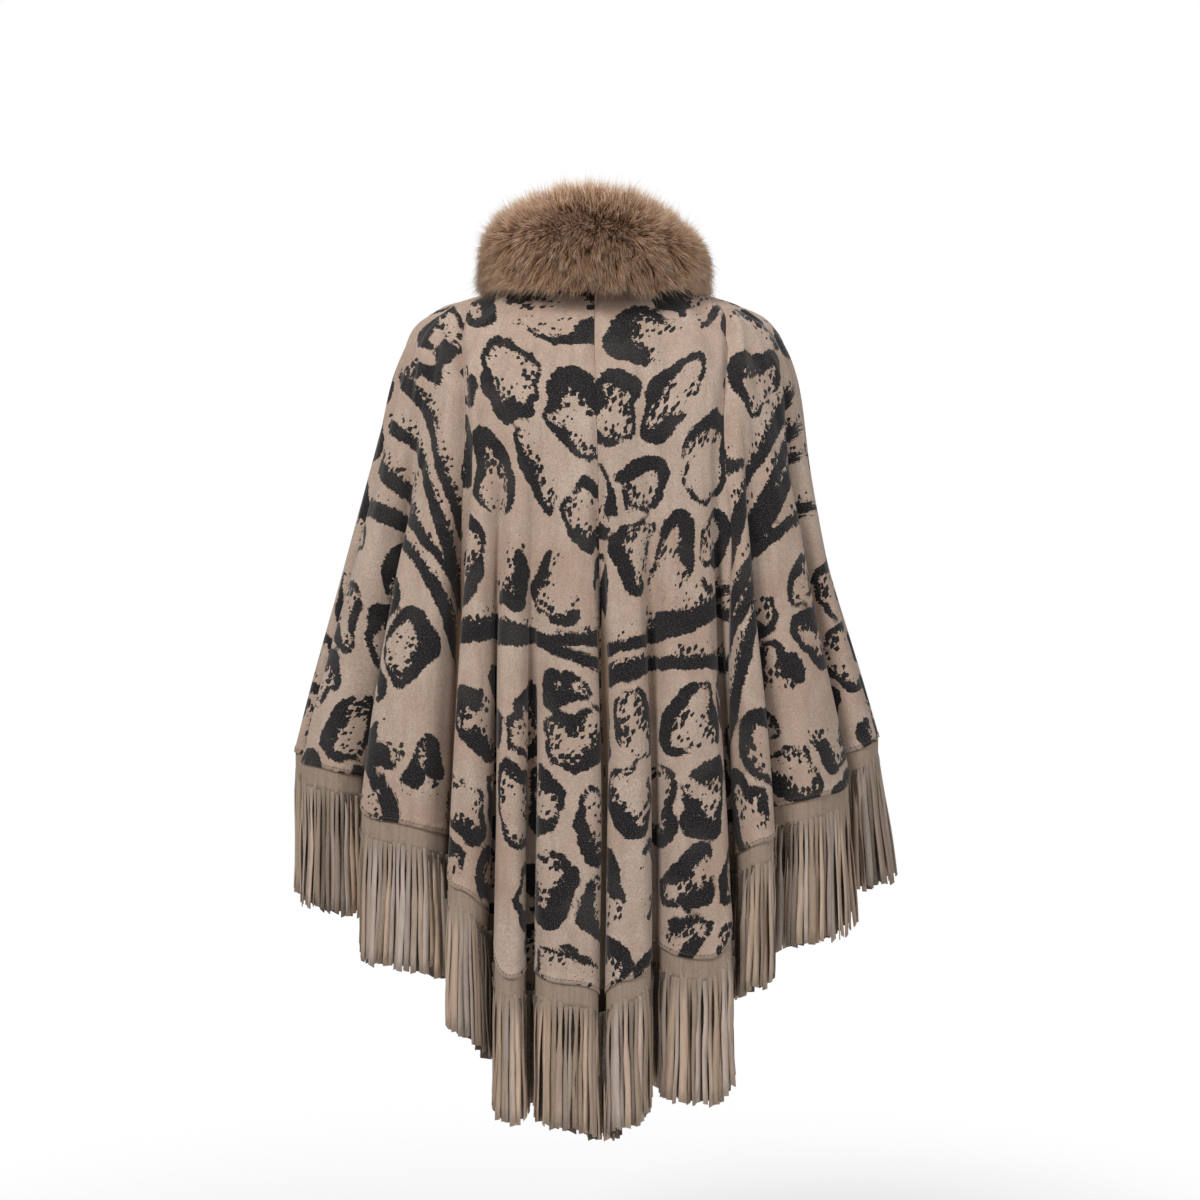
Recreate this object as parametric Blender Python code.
"""A suede cape with a fur collar and a fringed hem, hanging as it is worn.

Metres, +Z up. The origin is the middle of the neck opening, level with the neck seam.
The garment's back faces -Y, and +X is the wearer's right.

Every piece is cut from one surface. A point of it is named by a ring number, from 0 at the
neck seam to 7 at the hem, and by an angle about Z, from 0 at the centre back to 180 degrees
at the centre front, positive towards +X.
"""

from collections import namedtuple

import bpy
import numpy as np

# ---------------------------------------------------------------- driving dimensions
WALL = 0.002  # thickness of the suede
SEAM_GAP = 0.0003  # between two pieces that are sewn together
BACK_CORE = 0.25  # half-width inside which the back and front hang straight down
HEM_SWING = -0.009  # the sides of the hem hang this far to one side of the neck
SWING_RINGS = 2.0  # and get there this many rings below the upper arm
FRINGE_LAP = 0.010  # the fringe's header goes up this far behind the hem
FRINGE_HEADER = 0.025  # and shows this far below it
FRINGE_LENGTH = 0.135  # from the header to the strands' tips
FRINGE_RAGGED = 0.006  # how much one strand is longer or shorter than the next
STRAND_PITCH = 0.0135  # along the folded hem
STRAND_SHARE = 0.74  # of the pitch that is strand and not gap
STRAND_TIP = 0.85  # width of a strand's tip against its root
STRAND_SWAY = 0.0015  # how far a tip swings along the hem
ARM_FLARE = 0.020  # how far the tips over the right arm swing outwards
ARM_FLARE_POWER = 10  # of the sine of the angle: it keeps the flare to the arm
OPENING_AT_NECK = 0.006  # half the gap between the two fronts
OPENING_AT_HEM = 0.030
CENTRE_BACK_DRIFT = 2.2  # degrees that the centre back seam wanders by the hem
COLLAR_SEAT = 0.0005  # the collar lies this far above the suede
COLLAR_COLUMNS = 48
SHARP_ANGLE = 60.0  # an edge that turns by more than this is shaded sharp

# Small steps over which a slope of the surface is measured, and points along a fold.
RING_STEP = 0.01
ANGLE_STEP = 0.05
FOLD_SAMPLES = 200

# ---------------------------------------------------------------- the draped form
# Half-width at the side, and depth at the back and at the front, of a ring round the body.
# seam is the angle of the seam between the back and the side panel.
YokeRing = namedtuple("YokeRing", "name side back front seam side_z back_z front_z")
YOKE_RINGS = (
    YokeRing("neck seam", 0.074, 0.068, 0.062, 80.0, 0.000, 0.006, -0.050),
    YokeRing("under the collar", 0.125, 0.094, 0.090, 74.0, -0.018, -0.030, -0.085),
    YokeRing("shoulder", 0.174, 0.118, 0.112, 57.0, -0.037, -0.070, -0.118),
    YokeRing("shoulder tip", 0.208, 0.135, 0.130, 46.0, -0.063, -0.115, -0.155),
    YokeRing("upper arm", 0.227, 0.150, 0.148, 39.5, -0.115, -0.180, -0.210),
)
# Below the arm each ring is a share of the way down to the hem.
FallRing = namedtuple("FallRing", "name side back front seam drop")
FALL_RINGS = (
    FallRing("elbow", 0.244, 0.160, 0.160, 37.0, 0.25),
    FallRing("forearm", 0.272, 0.172, 0.172, 35.5, 0.58),
    FallRing("hem", 0.321, 0.186, 0.188, 35.0, 1.00),
)
SHOULDER = 2  # ring numbers of the shoulder, the upper arm and the hem
ARM = len(YOKE_RINGS) - 1
HEM = ARM + len(FALL_RINGS)

# One row for each fold that falls from the shoulders, going round from the left of the
# centre front, by the back, to the right of it. crest is where the fold stands furthest out,
# and valley is where it ends, towards the next row's fold. The two heights are the hem's.
# depth is from crest to valley at the hem, lean is the share of the fold's width by which
# the crest hangs over towards the next fold, and start is the ring where the fold begins.
Fold = namedtuple("Fold", "name crest crest_z valley valley_z depth lean start")
FOLDS = (
    Fold("left front edge", -168.0, -0.660, -161.0, -0.648, 0.034, -0.04, 4.0),
    Fold("left front", -153.0, -0.635, -145.0, -0.618, 0.038, 0.05, 3.9),
    Fold("left front outer", -137.0, -0.600, -129.0, -0.584, 0.040, -0.05, 3.8),
    Fold("left side front", -120.0, -0.565, -112.0, -0.552, 0.036, 0.04, 3.6),
    Fold("left side", -104.0, -0.542, -96.0, -0.538, 0.034, -0.04, 3.5),
    Fold("left side back", -87.0, -0.540, -79.0, -0.542, 0.034, 0.03, 3.4),
    Fold("left arm", -69.0, -0.547, -58.5, -0.560, 0.044, -0.04, 3.5),
    Fold("left wide", -45.5, -0.598, -35.0, -0.617, 0.046, -0.08, 3.8),
    Fold("left narrow", -29.8, -0.666, -25.5, -0.704, 0.042, -0.08, 4.0),
    Fold("left inner", -20.7, -0.762, -16.2, -0.754, 0.036, 0.10, 4.2),
    Fold("left of centre", -6.0, -0.766, 2.2, -0.786, 0.032, 0.06, 4.1),
    Fold("right of centre", 8.0, -0.762, 15.2, -0.730, 0.030, -0.03, 4.4),
    Fold("right inner", 24.8, -0.742, 34.2, -0.640, 0.042, 0.12, 4.1),
    Fold("right narrow", 38.8, -0.618, 43.8, -0.590, 0.042, 0.10, 4.0),
    Fold("right wide", 56.0, -0.573, 69.0, -0.540, 0.046, 0.08, 3.8),
    Fold("right arm", 76.5, -0.524, 84.0, -0.522, 0.038, 0.04, 3.5),
    Fold("right side", 92.0, -0.526, 100.0, -0.532, 0.034, 0.04, 3.4),
    Fold("right side front", 108.0, -0.540, 115.0, -0.552, 0.034, -0.04, 3.5),
    Fold("right outer", 122.0, -0.565, 130.0, -0.583, 0.038, 0.04, 3.7),
    Fold("right front outer", 138.0, -0.600, 145.0, -0.618, 0.040, -0.05, 3.8),
    Fold("right front", 155.0, -0.635, 162.0, -0.648, 0.038, 0.04, 3.9),
    Fold("right front edge", 168.5, -0.660, 180.0, -0.668, 0.034, 0.03, 4.0),
)
ROUND_FLANKS = 0.06  # a fold's sides bulge by this share of its width, so crests are broad
STEEP_FLANKS = 0.08  # and they stand this much steeper than a sine wave's
FOLD_GROWTH = 0.8  # a fold deepens by this power of its eased way down to the hem

# The collar's section, from its lower outer edge over the crown to its inner wall: how far
# each point is out from the neck seam and up from it, at the back, the side and the front.
CollarPoint = namedtuple(
    "CollarPoint", "name back_out back_up side_out side_up front_out front_up"
)
COLLAR_SECTION = (
    CollarPoint("lower edge", 0.052, -0.023, 0.052, -0.012, 0.044, -0.024),
    CollarPoint("low belly", 0.064, 0.005, 0.058, 0.010, 0.050, 0.004),
    CollarPoint("high belly", 0.066, 0.042, 0.059, 0.040, 0.049, 0.034),
    CollarPoint("shoulder", 0.057, 0.070, 0.051, 0.059, 0.042, 0.052),
    CollarPoint("outer crown", 0.040, 0.089, 0.037, 0.075, 0.029, 0.067),
    CollarPoint("crown", 0.018, 0.099, 0.017, 0.084, 0.012, 0.075),
    CollarPoint("inner crown", 0.001, 0.091, 0.001, 0.076, 0.001, 0.067),
    CollarPoint("inner wall", -0.002, 0.045, -0.002, 0.038, -0.002, 0.032),
)

# Rings at which a panel has a row of points. The header's top row and the hem follow.
PANEL_ROWS = (0.0, 1.0, 2.0, 3.0, 3.8, 4.6, 5.4, 6.2)

# Pieces of printed suede, each between two of the seams in seam_angle.
PANELS = (
    ("front_left", "left front edge", "left side front"),
    ("side_left", "left side front", "left side back"),
    ("back_left", "left side back", "centre back"),
    ("back_right", "centre back", "right side back"),
    ("side_right", "right side back", "right side front"),
    ("front_right", "right side front", "right front edge"),
)

Finish = namedtuple("Finish", "name colour roughness")
PRINTED_SUEDE = Finish("printed suede", (0.40, 0.31, 0.23, 1.0), 0.9)
PLAIN_SUEDE = Finish("plain suede", (0.30, 0.22, 0.15, 1.0), 0.9)
FUR = Finish("brown fur", (0.22, 0.13, 0.08, 1.0), 0.85)


# ---------------------------------------------------------------- curves through tables
def column(rows, name):
    return np.array([getattr(row, name) for row in rows])


def through(values, ring):
    """The Catmull-Rom curve through one value for each ring, at the given ring numbers."""
    first, last = 2 * values[:1] - values[1:2], 2 * values[-1:] - values[-2:-1]
    values = np.concatenate([first, values, last])
    start = np.clip(np.floor(ring).astype(int), 0, len(values) - 4)
    t = ring - start
    if values.ndim == 1:
        p0, p1, p2, p3 = (values[start + i] for i in range(4))
    else:
        p0, p1, p2, p3 = (
            np.take_along_axis(values, (start + i)[None], axis=0)[0] for i in range(4)
        )
    straight = 2 * p1 + (p2 - p0) * t
    bend = (2 * p0 - 5 * p1 + 4 * p2 - p3) * t**2 + (3 * p1 - p0 - 3 * p2 + p3) * t**3
    return (straight + bend) / 2


def unit(vectors):
    return vectors / np.linalg.norm(vectors, axis=-1, keepdims=True)


def eased(t):
    """0 to 1 with a level start and end."""
    t = np.clip(t, 0.0, 1.0)
    return t * t * (3 - 2 * t)


def eased_between(angle, nodes, values):
    """Values at the nodes, joined by eased steps."""
    i = np.clip(np.searchsorted(nodes, angle, side="right") - 1, 0, len(nodes) - 2)
    t = (angle - nodes[i]) / (nodes[i + 1] - nodes[i])
    return values[i] + (values[i + 1] - values[i]) * eased(t)


SIDE = np.concatenate([column(YOKE_RINGS, "side"), column(FALL_RINGS, "side")])
BACK = np.concatenate([column(YOKE_RINGS, "back"), column(FALL_RINGS, "back")])
FRONT = np.concatenate([column(YOKE_RINGS, "front"), column(FALL_RINGS, "front")])
SIDE_SEAM = np.concatenate([column(YOKE_RINGS, "seam"), column(FALL_RINGS, "seam")])
CORE = np.minimum(SIDE, BACK_CORE)

# Crests and valleys in turn, from one valley at the centre front round to the other.
TURNS = np.array([-180.0] + [angle for f in FOLDS for angle in (f.crest, f.valley)])
TURN_Z = np.array([FOLDS[-1].valley_z] + [z for f in FOLDS for z in (f.crest_z, f.valley_z)])


def at_turns(name):
    """A fold's value at its crest, and the mean of two folds' at the valley between them."""
    crests = column(FOLDS, name)
    valleys = (crests + np.roll(crests, -1)) / 2
    return np.concatenate([valleys[-1:], np.stack([crests, valleys], axis=1).ravel()])


TURN_DEPTH = at_turns("depth")
TURN_START = at_turns("start")


# ---------------------------------------------------------------- the surface
def plan(ring, angle):
    """The unfolded surface seen from above: x and y."""
    s, c = np.sin(np.radians(angle)), np.cos(np.radians(angle))
    core, side = through(CORE, ring), through(SIDE, ring)
    depth = np.where(c > 0, through(BACK, ring), through(FRONT, ring))
    swing = HEM_SWING * eased((ring - ARM) / SWING_RINGS) * s**2
    return np.stack([core * s + (side - core) * s**3 + swing, -depth * c], axis=-1)


def height(ring, angle):
    """Height of the surface: by its own heights down to the arm, then by shares to the hem."""
    c = np.cos(np.radians(angle))
    rows = []
    for row in YOKE_RINGS:
        far = np.where(c > 0, row.back_z, row.front_z)
        rows.append(row.side_z + (far - row.side_z) * c**2)
    hem = eased_between(angle, TURNS, TURN_Z)
    rows += [rows[ARM] + row.drop * (hem - rows[ARM]) for row in FALL_RINGS]
    return through(np.array(rows), ring)


def folds(ring, angle):
    """How far a fold moves a point out from the plan and along it.

    Out is half the fold's depth by the cosine of the phase, which is a whole number at a
    crest. Along is two sines of the phase, which broaden the crest, and the fold's lean.
    """
    turn = np.clip(np.searchsorted(TURNS, angle, side="right") - 1, 0, len(TURNS) - 2)
    half_width = TURNS[turn + 1] - TURNS[turn]
    phase = np.pi * (turn - 1 + (angle - TURNS[turn]) / half_width)
    fold = np.clip(turn // 2, 0, len(FOLDS) - 1)
    valleys = TURNS[::2]
    full_width = valleys[fold + 1] - valleys[fold]
    ahead, behind = plan(ring, angle + ANGLE_STEP), plan(ring, angle - ANGLE_STEP)
    per_degree = np.linalg.norm(ahead - behind, axis=-1) / (2 * ANGLE_STEP)
    start = eased_between(angle, TURNS, TURN_START)
    growth = eased((ring - start) / (HEM - start)) ** FOLD_GROWTH
    out = growth * eased_between(angle, TURNS, TURN_DEPTH) / 2 * np.cos(phase)
    bulge = ROUND_FLANKS * np.sin(phase) + STEEP_FLANKS * np.sin(2 * phase)
    lean = column(FOLDS, "lean")[fold] * (1 + np.cos(phase)) / 2
    along = growth * per_degree * (2 * half_width * bulge + full_width * lean)
    return out, along


def surface(ring, angle):
    """Points of the garment's outer face."""
    ring, angle = np.broadcast_arrays(np.asarray(ring, float), np.asarray(angle, float))
    tangent = unit(plan(ring, angle + ANGLE_STEP) - plan(ring, angle - ANGLE_STEP))
    outward = np.stack([tangent[..., 1], -tangent[..., 0]], axis=-1)
    out, along = folds(ring, angle)
    xy = plan(ring, angle) + out[..., None] * outward + along[..., None] * tangent
    return np.concatenate([xy, height(ring, angle)[..., None]], axis=-1)


def normal(ring, angle):
    """Unit vectors out of the surface."""
    down = surface(ring + RING_STEP, angle) - surface(ring - RING_STEP, angle)
    right = surface(ring, angle + 2 * ANGLE_STEP) - surface(ring, angle - 2 * ANGLE_STEP)
    return unit(np.cross(down, right))


# ---------------------------------------------------------------- where the pieces part
def seam_angle(seam, ring):
    """The angle of a seam, or of a free front edge, at each ring."""
    sign = -1.0 if seam.startswith("left") else 1.0
    if seam == "centre back":
        return CENTRE_BACK_DRIFT * eased((ring - SHOULDER) / (HEM - SHOULDER))
    if seam.endswith("front edge"):
        half_gap = OPENING_AT_NECK + (OPENING_AT_HEM - OPENING_AT_NECK) * (ring / HEM) ** 2
        return sign * (180 - np.degrees(np.arcsin(half_gap / through(CORE, ring))))
    angle = through(SIDE_SEAM, ring)
    return sign * (180 - angle if seam.endswith("front") else angle)


def panel_columns(left, right):
    """Shares of the way from one seam to the other, even along the folded hem.

    A column stands on each crest and valley that is over a degree from a seam, so that the
    facets keep the folds' shape.
    """
    hem = np.array(float(HEM))
    first, last = float(seam_angle(left, hem)), float(seam_angle(right, hem))
    inside = TURNS[(TURNS > first + 1) & (TURNS < last - 1)]
    stops = np.concatenate([[first], inside, [last]])
    angles = []
    for a, b in zip(stops[:-1], stops[1:]):
        fine = np.linspace(a, b, FOLD_SAMPLES)
        points = surface(HEM, fine)
        run = np.concatenate([[0], np.cumsum(np.linalg.norm(np.diff(points, axis=0), axis=1))])
        count = max(2, int(round(run[-1] / STRAND_PITCH)))
        angles.append(np.interp(np.linspace(0, run[-1], count + 1)[:-1], run, fine))
    angles = np.concatenate(angles + [[last]])
    return (angles - first) / (last - first)


class Cut:
    """One panel's outer face: its points, its normals, and the rows of its header."""

    def __init__(self, left, right):
        self.left, self.right = left, right
        self.share = panel_columns(left, right)
        rows = [np.full_like(self.share, ring) for ring in (*PANEL_ROWS, ARM, HEM)]
        arm, hem = rows[-2:]
        self.hem_angle = self.angle(hem)
        fall = height(arm, self.hem_angle) - height(hem, self.hem_angle)
        lap = hem - FRINGE_LAP * (HEM - ARM) / fall
        self.ring = np.array(rows[:-2] + [lap, hem])
        self.points = self.at(self.ring)
        self.normals = normal(self.ring, self.angle(self.ring))
        self.part_seams()

    def angle(self, ring):
        left, right = seam_angle(self.left, ring), seam_angle(self.right, ring)
        return left + self.share * (right - left)

    def at(self, ring):
        return surface(ring, self.angle(ring))

    def part_seams(self):
        """Draws the two edges in by half a seam gap, at right angles to the seam."""
        down = self.at(self.ring + RING_STEP) - self.at(self.ring - RING_STEP)
        across = unit(np.cross(self.normals, down))
        self.points[:, 0] += across[:, 0] * SEAM_GAP / 2
        self.points[:, -1] -= across[:, -1] * SEAM_GAP / 2

    def inside(self, depth):
        """The outer face moved in by a depth."""
        return self.points - depth * self.normals


# ---------------------------------------------------------------- meshes
def numbered(grids):
    """Vertex numbers for each grid of points, in the order in which they are joined."""
    ends = np.cumsum([0] + [g[..., 0].size for g in grids])
    return [
        np.arange(a, b).reshape(g.shape[:-1]) for a, b, g in zip(ends[:-1], ends[1:], grids)
    ]


def sheet_faces(numbers, points):
    """Triangles of a grid whose rows run down, each square cut along its shorter diagonal."""
    a, b, c, d = numbers[:-1, :-1], numbers[:-1, 1:], numbers[1:, 1:], numbers[1:, :-1]
    fall = np.linalg.norm(points[1:, 1:] - points[:-1, :-1], axis=-1)
    rise = np.linalg.norm(points[1:, :-1] - points[:-1, 1:], axis=-1)
    by_fall = np.stack([a, d, c, a, c, b], axis=-1)
    by_rise = np.stack([a, d, b, b, d, c], axis=-1)
    return np.where((fall < rise)[..., None], by_fall, by_rise).reshape(-1, 3)


def rim_faces(outer, inner):
    """Triangles between an outer and an inner path of vertex numbers.

    Each square is cut from its upper outer corner to its lower inner one, so that the rims
    of two panels lie along each other at a seam.
    """
    p, q, p_in, q_in = outer[:-1], outer[1:], inner[:-1], inner[1:]
    going_down = np.stack([q, p, q_in, p, p_in, q_in], axis=-1)
    going_up = np.stack([q, p, p_in, q, p_in, q_in], axis=-1)
    return np.where((p < q)[:, None], going_down, going_up).reshape(-1, 3)


def add_piece(name, grids, faces, finish, parent):
    """A named object from grids of points and arrays of faces, in its own finish."""
    mesh = bpy.data.meshes.new(name)
    points = np.concatenate([g.reshape(-1, 3) for g in grids])
    mesh.from_pydata(points.tolist(), [], [face for f in faces for face in f.tolist()])
    mesh.update()
    mesh.shade_smooth()
    mesh.set_sharp_from_angle(angle=np.radians(SHARP_ANGLE))
    mesh.materials.append(finish)
    piece = bpy.data.objects.new(name, mesh)
    bpy.context.scene.collection.objects.link(piece)
    piece.parent = parent
    return piece


def add_panel(name, cut, finish, parent):
    """A wall of printed suede: the cut's outer face, the same face moved in, and a rim."""
    grids = [cut.points, cut.inside(WALL)]
    outer, inner = numbered(grids)
    edge = [
        np.concatenate([n[:-1, 0], n[-1, :-1], n[:0:-1, -1], n[0, :0:-1], n[:1, 0]])
        for n in (outer, inner)
    ]
    faces = [
        sheet_faces(outer, grids[0]),
        sheet_faces(inner, grids[0])[:, ::-1],
        rim_faces(*edge),
    ]
    add_piece(name, grids, faces, finish, parent)


def add_fringe(name, cut, finish, parent, chance):
    """A header strip lapped behind the hem, with a strand cut out below each of its columns."""
    face, back = cut.inside(WALL + SEAM_GAP)[-2:], cut.inside(2 * WALL + SEAM_GAP)[-2:]
    fall = np.array([0.0, 0.0, -FRINGE_HEADER])
    outer_points = np.concatenate([face, face[-1:] + fall])
    inner_points = np.concatenate([back, back[-1:] + fall])

    # Where each strand's two sides meet the header's lower edge, on both of its faces.
    margin = (1 - STRAND_SHARE) / 2
    roots = []
    for points in (outer_points[-1], inner_points[-1]):
        start, step = points[:-1], np.diff(points, axis=0)
        roots += [start + margin * step, start + (1 - margin) * step]
    roots = np.array(roots)
    strands = roots.shape[1]
    middle = roots.mean(axis=0)
    along = unit(roots[1] - roots[0])
    sway = chance.uniform(-STRAND_SWAY, STRAND_SWAY, (strands, 1))
    length = FRINGE_LENGTH + FRINGE_RAGGED * chance.uniform(-1, 1, strands)
    angle = np.radians((cut.hem_angle[:-1] + cut.hem_angle[1:]) / 2)
    flare = ARM_FLARE * np.clip(np.sin(angle), 0, None) ** ARM_FLARE_POWER
    fall = np.stack([flare, 0 * length, -length], axis=-1)
    tips = middle + STRAND_TIP * (roots - middle) + sway * along + fall

    grids = [outer_points, inner_points, roots, tips]
    outer, inner, (e, f, e_in, f_in), (tip_e, tip_f, tip_e_in, tip_f_in) = numbered(grids)
    a, b, c, d = outer[-2, :-1], outer[-2, 1:], outer[-1, 1:], outer[-1, :-1]
    a_in, b_in, c_in, d_in = inner[-2, :-1], inner[-2, 1:], inner[-1, 1:], inner[-1, :-1]
    path = [np.concatenate([n[::-1, -1], n[0, -2::-1], n[1:, 0]]) for n in (outer, inner)]
    triangles = [(a, d, e), (a, e, f), (a, f, b), (b, f, c)]
    triangles += [(e_in, d_in, a_in), (f_in, e_in, a_in), (b_in, f_in, a_in), (c_in, f_in, b_in)]
    squares = [
        (e, d, d_in, e_in),
        (c, f, f_in, c_in),
        (e, tip_e, tip_f, f),
        (f_in, tip_f_in, tip_e_in, e_in),
        (e, e_in, tip_e_in, tip_e),
        (f_in, f, tip_f, tip_f_in),
        (tip_e, tip_e_in, tip_f_in, tip_f),
    ]
    faces = [
        sheet_faces(outer[:2], outer_points[:2]),
        sheet_faces(inner[:2], outer_points[:2])[:, ::-1],
        rim_faces(*path),
    ]
    faces += [np.stack(corners, axis=-1) for corners in triangles + squares]
    add_piece(name, grids, faces, finish, parent)
    return strands


def add_collar(name, finish, parent):
    """A ring of fur, open at the front: its foot lies on the cape, its section is a table."""
    neck = np.zeros(COLLAR_COLUMNS + 1)
    edge = float(seam_angle("right front edge", np.array(0.0)))
    angle = np.linspace(-edge, edge, COLLAR_COLUMNS + 1)
    base = surface(neck, angle)
    tangent = unit(np.gradient(base, axis=0) * (1, 1, 0))
    outward = np.stack([tangent[:, 1], -tangent[:, 0], 0 * neck], axis=-1)
    foot = [
        surface(neck + ring, angle) + COLLAR_SEAT * normal(neck + ring, angle)
        for ring in (0.0, 1.0)
    ]
    c = np.cos(np.radians(angle))
    rows = []
    for point in COLLAR_SECTION:
        far_out = np.where(c > 0, point.back_out, point.front_out)
        far_up = np.where(c > 0, point.back_up, point.front_up)
        out = point.side_out + (far_out - point.side_out) * c**2
        up = point.side_up + (far_up - point.side_up) * c**2
        rows.append(base + out[:, None] * outward + up[:, None] * np.array([0, 0, 1.0]))
    # Rows run down the outside, under the foot and up the inner wall, and close on the first.
    loop = np.array([foot[1]] + rows + [foot[0], foot[1]])[::-1]
    numbers = numbered([loop[:-1]])[0]
    closed = np.concatenate([numbers, numbers[:1]])
    faces = [sheet_faces(closed, loop), numbers[::-1, 0][None, :], numbers[:, -1][None, :]]
    add_piece(name, [loop[:-1]], faces, finish, parent)


def principled(finish):
    material = bpy.data.materials.new(finish.name)
    material.use_nodes = True
    shader = material.node_tree.nodes["Principled BSDF"]
    shader.inputs["Base Color"].default_value = finish.colour
    shader.inputs["Roughness"].default_value = finish.roughness
    shader.inputs["Metallic"].default_value = 0.0
    return material


def main():
    for old in list(bpy.data.objects):
        bpy.data.objects.remove(old)
    cape = bpy.data.objects.new("cape", None)
    bpy.context.scene.collection.objects.link(cape)
    printed, plain, fur = principled(PRINTED_SUEDE), principled(PLAIN_SUEDE), principled(FUR)
    chance = np.random.default_rng(7)
    strands = 0
    for name, left, right in PANELS:
        cut = Cut(left, right)
        add_panel(name, cut, printed, cape)
        strands += add_fringe(f"fringe_{name}", cut, plain, cape, chance)
    add_collar("fur_collar", fur, cape)
    print(strands, "strands of fringe")


main()
